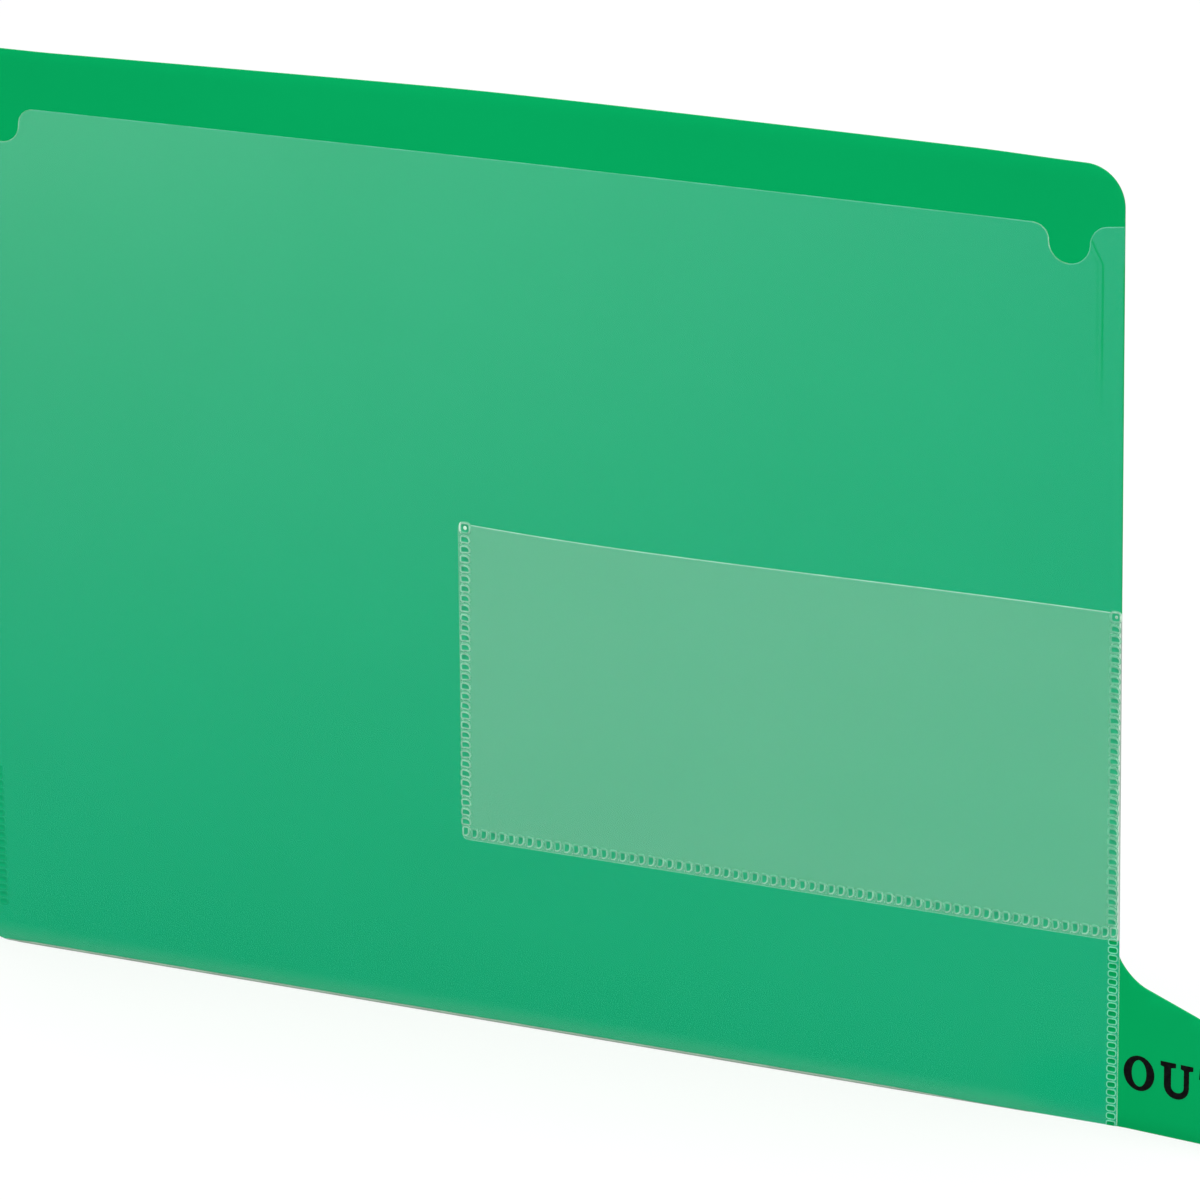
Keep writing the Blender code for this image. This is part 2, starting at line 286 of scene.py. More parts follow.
class Finish:
    """The nodes of one material, or of the sky."""

    def __init__(self, owner, shader="Principled BSDF"):
        owner.use_nodes = True
        self.owner, self.tree = owner, owner.node_tree
        self.shader = self.tree.nodes[shader]
        self.place = self.split = None

    def node(self, kind, **options):
        """Add a node and set its own options."""
        made = self.tree.nodes.new(kind)
        for key, value in options.items():
            setattr(made, key, value)
        return made

    def join(self, source, socket):
        """Link an output to an input, or set the input to a plain value."""
        if isinstance(source, bpy.types.NodeSocket):
            self.tree.links.new(source, socket)
        else:
            socket.default_value = source

    def feed(self, made, **values):
        """Set or link a node's inputs, named with underscores for spaces."""
        for name, value in values.items():
            self.join(value, made.inputs[name.replace("_", " ")])
        return made.outputs[0]

    def set(self, **values):
        """Set or link the shader's own sockets."""
        self.feed(self.shader, **values)

    def point(self):
        """The point in the piece's own space, in metres."""
        if self.place is None:
            self.place = self.node("ShaderNodeTexCoord").outputs["Object"]
        return self.place

    def axis(self, letter):
        """One coordinate of the point."""
        if self.split is None:
            self.split = self.node("ShaderNodeSeparateXYZ")
            self.join(self.point(), self.split.inputs[0])
        return self.split.outputs[letter]

    def sums(self, operation, *values, clamp=False):
        """A Math node."""
        made = self.node("ShaderNodeMath", operation=operation, use_clamp=clamp)
        for value, socket in zip(values, made.inputs):
            self.join(value, socket)
        return made.outputs[0]

    def spread(self, value, low, high, out_low=0.0, out_high=1.0):
        """Ease a value from one range to another."""
        made = self.node("ShaderNodeMapRange", interpolation_type="SMOOTHSTEP")
        for source, socket in zip((value, low, high, out_low, out_high), made.inputs):
            self.join(source, socket)
        return made.outputs[0]

    def noise(self, scale, detail=2.0, roughness=0.5, stretch=(1.0, 1.0, 1.0)):
        """Noise in the piece's own space."""
        place = self.feed(self.node("ShaderNodeMapping"), Scale=stretch, Vector=self.point())
        return self.feed(self.node("ShaderNodeTexNoise"), Scale=scale, Detail=detail, Roughness=roughness,
                         Vector=place)

    def mix(self, factor, first, second):
        """Mix two colours."""
        made = self.node("ShaderNodeMix", data_type="RGBA")
        self.join(factor, made.inputs["Factor"])
        for socket, tint in ((made.inputs[6], first), (made.inputs[7], second)):
            self.join(tint if isinstance(tint, bpy.types.NodeSocket) else (*tint, 1.0), socket)
        return made.outputs[2]

    def vary(self, factor, tint, swing):
        """Let a colour swing evenly to both sides."""
        return self.mix(factor, tone(tint, 1.0 - swing), tone(tint, 1.0 + swing))

    def bump(self, height, strength, distance):
        """Drive the shader's normal from a height."""
        self.set(Normal=self.feed(self.node("ShaderNodeBump"), Strength=strength, Distance=distance,
                                  Height=height))

    def seen(self):
        """1 for rays that show a surface, also in gloss and through film, and 0 for rays that light."""
        rays = self.node("ShaderNodeLightPath").outputs
        return self.sums("MAXIMUM", rays["Is Camera Ray"],
                         self.sums("MAXIMUM", rays["Is Glossy Ray"], rays["Is Transmission Ray"]))


def new_finish(name):
    """A new material."""
    return Finish(bpy.data.materials.new(name))


# Lowest and highest values that noise is spread from, and the films' roughness
SOFT_NOISE = (0.2, 0.8)
FIRM_NOISE = (0.25, 0.75)
FILM_ROUGHNESS = (0.22, 0.34)

# Line beside the right notch where the large film clings to the sheet: it leans in above a bend, has soft
# sides and fades downwards. The heights are below the mouth; each line has an inset and a strength
CLING_BEND = 8.8 * MM
CLING_LEAN = 0.52
CLING_SIDES = (0.14 * MM, 0.44 * MM)
CLING_FADE = (52.0 * MM, 22.0 * MM)
CLING_LINES = ((5.5 * MM, 0.75), (6.8 * MM, 0.3))

# Growth of the large film's painted reflection with height, its paler band at the foot, and the patch by the
# tab where the painted reflection's tint gives way to a plainer veil
REFLECTION_GROWTH = 1.5
FOOT_BAND, FOOT_BAND_LIFT = (6.0 * MM, 0.8 * MM), 0.5
PLAIN_PATCH_INSET, PLAIN_PATCH_HEIGHT = 5.0 * MM, 9.0 * MM
PLAIN_PATCH_HALF_WIDTH, PLAIN_PATCH_HALF_HEIGHT = 26.0 * MM, 13.0 * MM
PLAIN_PATCH_LEAST = 0.25


def green_poly(sheet):
    """Satin dyed polypropylene with faint flow marks."""
    finish = new_finish("green_poly")
    cloud = finish.noise(14.0, 3.0, stretch=(1.0, 1.0, 2.2))
    grain = finish.noise(2600.0, roughness=0.6)
    finish.set(Base_Color=finish.vary(cloud, sheet.green, 0.035),
               Roughness=finish.spread(grain, *FIRM_NOISE, 0.40, 0.52), Specular_IOR_Level=0.03)
    finish.bump(grain, 0.12, 0.02 * MM)
    return finish.owner


def cling_line(finish, inset, strength):
    """A line where the film clings to the sheet: 1 away from it, less on it."""
    x, z = finish.axis("X"), finish.axis("Z")
    over = finish.sums("MAXIMUM", finish.sums("SUBTRACT", z, MOUTH - CLING_BEND), 0.0)
    off = finish.sums("MULTIPLY_ADD", over, CLING_LEAN, finish.sums("SUBTRACT", x, RIGHT - inset))
    near = finish.spread(finish.sums("ABSOLUTE", off), *CLING_SIDES, 1.0, 0.0)
    reach = finish.spread(z, *(MOUTH - below for below in CLING_FADE), 0.0, strength)
    return finish.sums("SUBTRACT", 1.0, finish.sums("MULTIPLY", near, reach))


def clear_film(pocket):
    """Hazy film with a painted reflection: paler and cloudier towards the mouth and away from the tab, with a
    paler band at the foot and a plainer patch by the tab, and clear where it clings to the sheet.
    """
    finish = new_finish("clear_film")
    x, z = finish.axis("X"), finish.axis("Z")
    # Painted reflection: it grows with height and away from the tab, has a paler band at the foot, and drives
    # both the haze and the veil's colour
    up = finish.sums("POWER", finish.sums("DIVIDE", z, TOP), REFLECTION_GROWTH)
    across = finish.sums("DIVIDE", finish.sums("SUBTRACT", RIGHT, x), RIGHT - LEFT)
    side = finish.sums("MULTIPLY_ADD", across, 1.0 - pocket.tab_side_reflection_share, pocket.tab_side_reflection_share)
    rise = finish.sums("MAXIMUM", finish.sums("MULTIPLY", up, side, clamp=True),
                       finish.spread(z, *FOOT_BAND, 0.0, FOOT_BAND_LIFT))
    # Patch by the tab with less of the painted reflection's tint
    near = finish.sums("DIVIDE", finish.sums("SUBTRACT", x, RIGHT - PLAIN_PATCH_INSET), PLAIN_PATCH_HALF_WIDTH)
    level = finish.sums("DIVIDE", finish.sums("SUBTRACT", z, PLAIN_PATCH_HEIGHT), PLAIN_PATCH_HALF_HEIGHT)
    apart = finish.sums("MULTIPLY_ADD", near, near, finish.sums("MULTIPLY", level, level))
    flat = finish.spread(apart, 0.0, 1.0, PLAIN_PATCH_LEAST, 1.0)
    cloud = finish.noise(18.0, 3.0, stretch=(1.0, 1.0, 0.6))
    haze = finish.sums("MULTIPLY_ADD", rise, pocket.haze_high - pocket.haze_low, pocket.haze_low)
    haze = finish.sums("MULTIPLY", haze, finish.spread(cloud, *SOFT_NOISE, 0.95, 1.05))
    for inset, strength in CLING_LINES:
        haze = finish.sums("MULTIPLY", haze, cling_line(finish, inset, strength))
    veil = finish.mix(rise, pocket.veil_and_reflection_low, pocket.veil_and_reflection_high)
    finish.set(Base_Color=finish.mix(flat, pocket.plain_veil_by_tab, veil), Alpha=haze,
               Roughness=finish.spread(cloud, *SOFT_NOISE, *FILM_ROUGHNESS))
    return finish.owner


def card_film(pocket):
    """The card pocket's film, with a whiter haze."""
    finish = new_finish("card_film")
    haze = finish.spread(finish.axis("X"), RIGHT, CARD_LEFT, pocket.haze_low, pocket.haze_high)
    cloud = finish.noise(22.0, 3.0, stretch=(0.6, 1.0, 1.0))
    finish.set(Base_Color=finish.vary(cloud, pocket.veil, 0.03),
               Alpha=finish.sums("MULTIPLY", haze, finish.spread(cloud, *SOFT_NOISE, 0.96, 1.04)),
               Roughness=finish.spread(cloud, *SOFT_NOISE, *FILM_ROUGHNESS))
    return finish.owner


def cut_edge(name, tint, low, high):
    """Cut edge of a film, with a cover that varies along it; its light tints on the cut mouths, the notches
    and by the tab are painted highlights.
    """
    finish = new_finish(name)
    uneven_cover = finish.noise(160.0)
    finish.set(Base_Color=finish.mix(uneven_cover, tone(tint, 0.9), tone(tint, 1.08)),
               Alpha=finish.spread(uneven_cover, *FIRM_NOISE, low, high), Roughness=0.3)
    return finish.owner


def solid_plastic(name, tint, swing, scale, roughness, gloss=0.03):
    """Opaque plastic whose colour and roughness swing a little."""
    finish = new_finish(name)
    cloud = finish.noise(scale)
    finish.set(Base_Color=finish.vary(finish.spread(cloud, *FIRM_NOISE), tint, swing),
               Roughness=finish.spread(cloud, *FIRM_NOISE, roughness - 0.06, roughness + 0.06),
               Specular_IOR_Level=gloss)
    return finish.owner


def smooth_step(value):
    """Ease from 0 to 1."""
    value = min(1.0, max(0.0, value))
    return value * value * (3.0 - 2.0 * value)


def bow(sheet, x, z, depth):
    """How far back a ply stands at a point, when its top bows by this depth."""
    offset = (x - RIGHT) / sheet.bow_reach + 1.0
    slope = BOW_LEFT_SLOPE if offset < 0.0 else BOW_RIGHT_SLOPE
    tent = 1.0 + BOW_RIDGE - math.hypot(slope * offset, BOW_RIDGE)
    held = smooth_step((1.0 - abs(offset)) / BOW_END_FADE)
    return depth * max(0.0, tent) * held * max(0.0, z / TOP) ** BOW_GROWTH


def tab_bend(sheet, x):
    """Where a point of the tab comes to lie: its place across and how far forward."""
    fold = RIGHT + sheet.tab_fold
    along = x - fold
    if along <= 0.0:
        return x, 0.0
    part = min(1.0, along / sheet.fold_width)
    bent = sheet.fold_width * (part ** 3 - part ** 4 / 2.0)
    rest = max(0.0, along - sheet.fold_width)
    forward = math.tan(sheet.tab_turn) * (bent + rest)
    return fold + min(along, sheet.fold_width) + rest * math.cos(sheet.tab_turn), forward


def side_edge(sheet, z):
    """Where the sheet's right edge is at a height above the tab."""
    part = (TOP - z) / (TOP - sheet.tab_start)
    return RIGHT - sheet.edge_in + part * (sheet.edge_in + sheet.edge_out)


def settle(sheet, bm, depth):
    """Bow a flat ply back and bend what lies on the tab forward."""
    for vert in bm.verts:
        back = bow(sheet, vert.co.x, vert.co.z, depth)
        x, forward = tab_bend(sheet, vert.co.x)
        vert.co = (x, vert.co.y + back - forward, vert.co.z)


def round_corner(bm, vert, radius, segments):
    """Round one corner of a flat outline."""
    arms = [(edge.other_vert(vert).co - vert.co).normalized() for edge in vert.link_edges]
    reach = radius / math.tan(arms[0].angle(arms[1]) / 2.0)
    bmesh.ops.bevel(bm, geom=[vert], offset=reach, offset_type="OFFSET", segments=segments,
                    profile=0.5, affect="VERTICES", clamp_overlap=False, material=-1)


def flat_face(corners, depth, segments=10):
    """One flat face from (x, z, radius) corners, anticlockwise as seen from the front."""
    bm = bmesh.new()
    verts = [bm.verts.new((x, depth, z)) for x, z, radius in corners]
    bm.faces.new(verts)
    for vert, (x, z, radius) in zip(verts, corners):
        if radius > 0.0:
            round_corner(bm, vert, radius, segments)
    bmesh.ops.remove_doubles(bm, verts=bm.verts[:], dist=SMALLEST)
    return bm


def edge_ring(bm, width):
    """Divide a band off along a flat face's outline; gives its faces."""
    made = bmesh.ops.inset_region(bm, faces=bm.faces[:], thickness=width, use_boundary=True,
                                  use_even_offset=True)
    return made["faces"]


def cut(bm, point, normal, **options):
    """Cut everything along a plane."""
    bmesh.ops.bisect_plane(bm, geom=bm.verts[:] + bm.edges[:] + bm.faces[:], dist=SMALLEST,
                           plane_co=point, plane_no=normal, **options)


def score(bm, letter, places):
    """Cut straight lines across a flat face, so that it can bow."""
    normal = Vector([float(letter == axis) for axis in "XYZ"])
    for place in places:
        cut(bm, normal * place, normal)


def steps(low, high, size):
    """Even places between two ends."""
    count = max(1, round((high - low) / size))
    return [low + (high - low) * index / count for index in range(1, count)]


def extrude(bm, faces):
    """Extrude a region; gives the new vertices and faces."""
    made = bmesh.ops.extrude_face_region(bm, geom=faces)["geom"]
    return [[part for part in made if isinstance(part, kind)]
            for kind in (bmesh.types.BMVert, bmesh.types.BMFace)]


def thicken(bm, depth):
    """Give a flat face its thickness, backwards."""
    verts, _ = extrude(bm, bm.faces[:])
    bmesh.ops.translate(bm, verts=verts, vec=(0.0, depth, 0.0))
    bmesh.ops.recalc_face_normals(bm, faces=bm.faces[:])


def keep_mesh(name, bm):
    """Store a bmesh as a mesh."""
    mesh = bpy.data.meshes.new(name)
    bm.to_mesh(mesh)
    bm.free()
    return mesh


def add_object(name, data):
    """Put new data into the scene as an object."""
    made = bpy.data.objects.new(name, data)
    bpy.context.scene.collection.objects.link(made)
    return made


def finish_piece(name, bm, materials, smooth_angle=35.0, clear=False):
    """Turn a bmesh into a piece at the origin. A clear piece throws no shadow."""
    bmesh.ops.triangulate(bm, faces=[face for face in bm.faces if len(face.verts) > 4])
    mesh = keep_mesh(name, bm)
    for material in materials:
        mesh.materials.append(material)
    mesh.shade_smooth()
    mesh.set_sharp_from_angle(angle=math.radians(smooth_angle))
    piece = add_object(name, mesh)
    piece.visible_shadow = piece.visible_diffuse = not clear
    return piece


class OUTGUIDE_OT_green_sheet(bpy.types.Operator):
    """Model the die-cut green sheet with its end tab"""

    bl_idname = "out_guide.green_sheet"
    bl_label = "Green sheet"

    def execute(self, context):
        sheet = context.scene.out_guide_sheet
        fall, steep = math.tan(sheet.tab_slope), math.tan(sheet.root_slope)
        root = (sheet.tab_start + steep * sheet.edge_out - sheet.tab_level) / (steep - fall)
        bm = flat_face([
            (LEFT, 0.0, sheet.corner),
            (NOSE, 0.0, sheet.tab_nose),
            (NOSE, sheet.tab_level - (NOSE - RIGHT) * fall, sheet.tab_nose),
            (RIGHT + root, sheet.tab_level - root * fall, sheet.tab_fillet),
            (RIGHT + sheet.edge_out, sheet.tab_start, sheet.tab_kink),
            (RIGHT - sheet.edge_in, TOP - sheet.right_fall, sheet.corner),
            (LEFT, TOP - sheet.left_fall, sheet.corner),
        ], SHEET_FACE, segments=16)
        fold = RIGHT + sheet.tab_fold
        bent = fold + sheet.fold_width
        score(bm, "X", steps(LEFT, fold, GRID) + [fold] + steps(fold, bent, FOLD_GRID)
              + steps(bent, NOSE, GRID))
        score(bm, "Z", steps(0.0, TOP, GRID))
        thicken(bm, SHEET_HIGH.y - SHEET_LOW.y)
        rims = [edge for edge in bm.edges if edge.calc_face_angle(0.0) > math.radians(60)]
        bmesh.ops.bevel(bm, geom=rims, offset=sheet.edge_round, offset_type="OFFSET", segments=2,
                        profile=0.5, affect="EDGES", clamp_overlap=True, material=-1)
        settle(sheet, bm, sheet.bow_depth)
        piece = finish_piece("green_sheet", bm, [green_poly(sheet)])
        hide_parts("guide_sheet")
        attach(piece, "guide")
        return {"FINISHED"}


# Parts of the large film, in the order of its materials: film, cut edge with a painted highlight, side seals
# with a faint trace of that highlight, and notch edges with a painted highlight
FILM, LIT_EDGE, SEAL, LIT_NOTCH = range(4)

# Share of the notch's half width that its floor is rounded by, and the seal's end above that floor
NOTCH_ROUND = 0.99
SEAL_RISE = 3.0 * MM


class OUTGUIDE_OT_large_film(bpy.types.Operator):
    """Model the large pocket's film with its notched mouth and clear side seals"""

    bl_idname = "out_guide.large_film"
    bl_label = "Large pocket film"

    def execute(self, context):
        sheet = context.scene.out_guide_sheet
        pocket = context.scene.out_guide_large_pocket
        mouth = MOUTH - pocket.mouth_drop
        floor = mouth - pocket.notch_depth
        half = pocket.notch_radius
        radius = half * NOTCH_ROUND
        right, left = RIGHT - pocket.notch_inset, FILM_LEFT + pocket.left_notch_inset
        bm = flat_face([
            (FILM_LEFT, 0.0, sheet.corner - (FILM_LEFT - LEFT)),
            (RIGHT + pocket.foot_overlap, 0.0, 0.0),
            (RIGHT + pocket.tab_overlap, sheet.tab_start, 0.0),
            (side_edge(sheet, mouth), mouth + pocket.ear_rise, 0.0),
            (right + half, mouth + pocket.ear_start, pocket.outer_shoulder),
            (right + half, floor, radius),
            (right - half, floor, radius),
            (right - half, mouth, pocket.inner_shoulder),
            (left + half, mouth, pocket.inner_shoulder),
            (left + half, floor, radius),
            (left - half, floor, radius),
            (left - half, mouth + pocket.ear_start, pocket.outer_shoulder),
            (FILM_LEFT, mouth + pocket.ear_rise, 0.0),
        ], FILM_FACE)
        straight = half + pocket.inner_shoulder
        for face in edge_ring(bm, pocket.lip):
            place = face.calc_center_median()
            if place.z < pocket.lip:
                face.material_index = FILM
            elif place.z < floor - pocket.lip:
                beside_tab = place.x > RIGHT and place.z < sheet.tab_start
                face.material_index = LIT_NOTCH if beside_tab else SEAL
            else:
                dim = left + straight < place.x < right - straight or place.x > right
                face.material_index = LIT_EDGE if dim else LIT_NOTCH
        hinge = HINGES["large_pocket_mouth"]
        score(bm, "X", steps(FILM_LEFT, RIGHT, GRID))
        score(bm, "Z", steps(0.0, MOUTH, GRID) + [CARD_MOUTH, hinge])
        for face in bm.faces:
            sealed = CARD_MOUTH < face.calc_center_median().z < floor + SEAL_RISE
            if face.material_index == SEAL and not sealed:
                face.material_index = FILM
        thicken(bm, FILM_THICKNESS)
        for face in bm.faces:
            if abs(face.normal.y) < 0.5 and face.material_index == FILM:
                face.material_index = LIT_EDGE
        settle(sheet, bm, pocket.bow_depth)
        # The cut edges' light tints are painted highlights
        piece = finish_piece("large_film", bm, [
            clear_film(pocket),
            cut_edge("film_edge", pocket.edge_highlight_tint, 0.11, 0.18),
            cut_edge("film_seal", pocket.edge_highlight_tint, 0.004, 0.02),
            cut_edge("notch_edge", pocket.notch_highlight_tint, 0.08, 0.32),
        ], clear=True)
        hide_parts("large_pocket_panel", "large_pocket_left_margin",
                    "large_pocket_right_margin", "large_pocket_flap")
        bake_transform(piece)
        return {"FINISHED"}


# Parts of the card film, in the order of its materials: film, mouth with a painted highlight, fused bead and
# the bead's outer line
CARD, LIT_LIP, BEAD, BEAD_RIM = range(4)

# How the open mouth's bulge falls off to its sides and to the foot, and the lower right corner's share of
# the corners' radius
BULGE_SHAPE = 1.8
LOW_CORNER = 0.5


class OUTGUIDE_OT_card_film(bpy.types.Operator):
    """Model the card pocket's film, standing a little open at its mouth"""

    bl_idname = "out_guide.card_film"
    bl_label = "Card pocket film"

    def execute(self, context):
        sheet = context.scene.out_guide_sheet
        large = context.scene.out_guide_large_pocket
        pocket = context.scene.out_guide_card_pocket
        high, low = RIGHT + pocket.high_overhang, RIGHT + pocket.low_overhang
        bm = flat_face([
            (CARD_LEFT + pocket.low_inset, CARD_FOOT, pocket.corner),
            (low, CARD_FOOT, pocket.corner * LOW_CORNER),
            (high, CARD_MOUTH + pocket.mouth_tilt, 0.0),
            (CARD_LEFT + pocket.high_inset, CARD_MOUTH, pocket.corner),
        ], CARD_FACE)
        for face in edge_ring(bm, pocket.lip):
            place = face.calc_center_median()
            if place.z > CARD_MOUTH - pocket.lip:
                face.material_index = LIT_LIP
            elif place.x > RIGHT:
                face.material_index = BEAD_RIM
        across = Vector((CARD_MOUTH - CARD_FOOT, 0.0, low - high)).normalized()
        line = Vector((low - pocket.bead, CARD_FACE, CARD_FOOT))
        cut(bm, line, across)
        for face in bm.faces:
            outside = (face.calc_center_median() - line).dot(across) > 0.0
            if outside and face.material_index == CARD:
                face.material_index = BEAD
        inner_left, inner_right = CARD_LEFT + SEAM_WIDTH, RIGHT - SEAM_WIDTH
        inner_foot = CARD_FOOT + SEAM_WIDTH
        score(bm, "X", [inner_left] + steps(inner_left, inner_right, GRID) + [inner_right])
        score(bm, "Z", [inner_foot] + steps(inner_foot, CARD_MOUTH, GRID))
        thicken(bm, FILM_THICKNESS)
        for face in bm.faces:
            if face.normal.x > 0.5:
                face.material_index = BEAD_RIM
            elif abs(face.normal.y) < 0.5 and face.material_index == CARD:
                face.material_index = LIT_LIP
        lean = math.log(0.5) / math.log(pocket.bulge_place)
        for vert in bm.verts:
            along = (vert.co.x - inner_left) / (inner_right - inner_left)
            if 0.0 < along < 1.0 and vert.co.z > inner_foot:
                up = (vert.co.z - inner_foot) / (CARD_MOUTH - inner_foot)
                vert.co.y -= pocket.bulge * (math.sin(math.pi * along ** lean) * up) ** BULGE_SHAPE
        settle(sheet, bm, large.bow_depth)
        # The light tint of the card's cut mouth is a painted highlight
        piece = finish_piece("card_film", bm, [
            card_film(pocket),
            cut_edge("card_mouth_edge", pocket.edge_highlight_tint, 0.45, 0.62),
            cut_edge("card_side_bead", pocket.bead_tint, 0.72, 0.9),
            cut_edge("card_bead_rim", pocket.rim_tint, 0.75, 0.92),
        ], clear=True)
        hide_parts("small_pocket_left_seam", "small_pocket_bottom_seam",
                    "small_pocket_right_seam", "small_pocket_flap")
        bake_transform(piece)
        return {"FINISHED"}


# Parts of a weld mark, in the order of its materials: rim crest in a painted highlight, clear middle, rim
# slopes in painted shade, faint rim and faint window; what the card's welds have in place of the faint ones:
# a painted highlight and dents in painted shade
LIT_RIM, WINDOW, SHADED_SLOPE, FAINT_RIM, FAINT_WINDOW = range(5)
HIGHLIGHT, SHADED_DENT = FAINT_RIM, FAINT_WINDOW

# Profile of a weld mark's rim, from the outside in: share of its width, lift and part; the crest takes the
# painted highlight, the slopes the painted shade
RIM_PROFILE = ((0.30, 1.0, SHADED_SLOPE), (0.40, 0.0, LIT_RIM), (0.28, -0.8, SHADED_SLOPE))

# Share of the film's thickness that a mark is sunk, and the radii of its clear middle, from the lower left
MARK_SINK = 0.4
FOOT_RADII = [0.32 * MM] * 4
CARD_RADII = [0.06 * MM, 0.15 * MM, 0.80 * MM, 0.20 * MM]
CORNER_RADII = [0.4 * MM] * 4

# What the press leaves at the card's marks: length and width of lines and of dents in painted shade, the
# spots' radius and stretch, lifts as multiples of a rim's rise, and how much of a line is left at its crest
LINE_SIZE = (0.95 * MM, 0.16 * MM)
DENT_SIZE = (0.9 * MM, 0.17 * MM)
SPOT_RADIUS, SPOT_STRETCH = 0.52 * MM, 1.1
CORNER_LIFT, DENT_LIFT = 1.5, 0.6
LINE_CREST = (0.8, 1.0, 0.3)

# Grain and roughness of a mark's rim and of its clear middle
RIM_LOOK, WINDOW_LOOK = (700.0, 0.32), (500.0, 0.30)

# How the press scatters: turns in radians, and sizes as shares
FOOT_TURN, FOOT_SCATTER, FAINT_TURN = (-0.05, 0.05), (0.97, 1.02), (-0.06, 0.06)
CARD_TURN, CARD_SCATTER = (-0.10, 0.10), (0.95, 1.03)
DENT_SCATTER, LINE_SCATTER = (0.6, 1.1), (0.5, 0.9)

# How the lines stand: lean in radians, ends to both sides, and their reach as a share
LINE_LEAN = (0.3, 0.8)
LINE_SIDES, LINE_REACH = (-0.9 * MM, 1.0 * MM), (0.8, 1.15)

# Places below a card mark: the dent's as a share of the rim, and how much further down the lines are
DENT_PLACE, LINE_DROP = 0.9, 1.1

# Where a rim takes the painted highlight, on its lit side: how far to the right in the right row, and how
# steep the limit is in the bottom row
RIGHT_ROW_LIT, BOTTOM_ROW_LIT = 0.7 * MM, 0.6

# How far the foot welds stay clear of the floor and of the card pocket
FLOOR_CLEARANCE = 0.05 * MM
ROW_CLEARANCE = 0.2 * MM


def weld_mark(name, width, height, radii, rim, rise):
    """One pressed mark: a raised rim round a clear middle, as a closed shape on the film's face; the rim's
    crest is in the painted highlight and its slopes in painted shade.
    """
    across, along = width / 2.0 + rim, height / 2.0 + rim
    places = [(-across, -along), (across, -along), (across, along), (-across, along)]
    bm = flat_face([(x, z, radius + rim) for (x, z), radius in zip(places, radii)], 0.0, segments=3)
    thicken(bm, FILM_THICKNESS * MARK_SINK)
    front = [face for face in bm.faces if face.normal.y < -0.9]
    if len(front) != 1:
        raise RuntimeError("a weld mark needs one flat face to start from")
    for part, lift, layer in RIM_PROFILE:
        front[0].material_index = layer
        bmesh.ops.inset_individual(bm, faces=front, thickness=rim * part, depth=lift * rise,
                                   use_even_offset=True)
    front[0].material_index = WINDOW
    return keep_mesh(name, bm)


def paint(bm, layer):
    """Give all faces one material."""
    for face in bm.faces:
        face.material_index = layer


def raised_line(name, size, rise, layer):
    """A short line that the press leaves beside a mark; the dark dents below the card marks are such lines in
    painted shade.
    """
    reach, width = size
    bm = bmesh.new()
    bmesh.ops.create_cube(bm, size=1.0, matrix=Matrix.Diagonal((reach, rise, width, 1.0)))
    bmesh.ops.translate(bm, verts=bm.verts[:], vec=(0.0, -rise / 4.0, 0.0))
    crest = [vert for vert in bm.verts if vert.co.y < -rise / 2.0]
    bmesh.ops.scale(bm, verts=crest, vec=LINE_CREST)
    paint(bm, layer)
    return keep_mesh(name, bm)


def raised_spot(name, radius, rise, layer):
    """A low round spot in the middle of a corner mark, all in one part; at the corner marks it carries the
    painted highlight.
    """
    bm = bmesh.new()
    bmesh.ops.create_icosphere(bm, subdivisions=2, radius=radius,
                               matrix=Matrix.Diagonal((1.0, rise / radius, SPOT_STRETCH, 1.0)))
    paint(bm, layer)
    return keep_mesh(name, bm)


def stamp(bm, mark, x, y, z, turn=0.0, size=1.0, layers=None):
    """Press one mark at a place, turned in the film's plane, with some parts changed; gives its faces."""
    first, first_face = len(bm.verts), len(bm.faces)
    bm.from_mesh(mark)
    bm.verts.ensure_lookup_table()
    bm.faces.ensure_lookup_table()
    matrix = Matrix.Translation((x, y, z)) @ Matrix.Rotation(turn, 4, "Y") @ Matrix.Scale(size, 4)
    bmesh.ops.transform(bm, matrix=matrix, verts=bm.verts[first:])
    faces = bm.faces[first_face:]
    if layers:
        for face in faces:
            face.material_index = layers.get(face.material_index, face.material_index)
    return faces


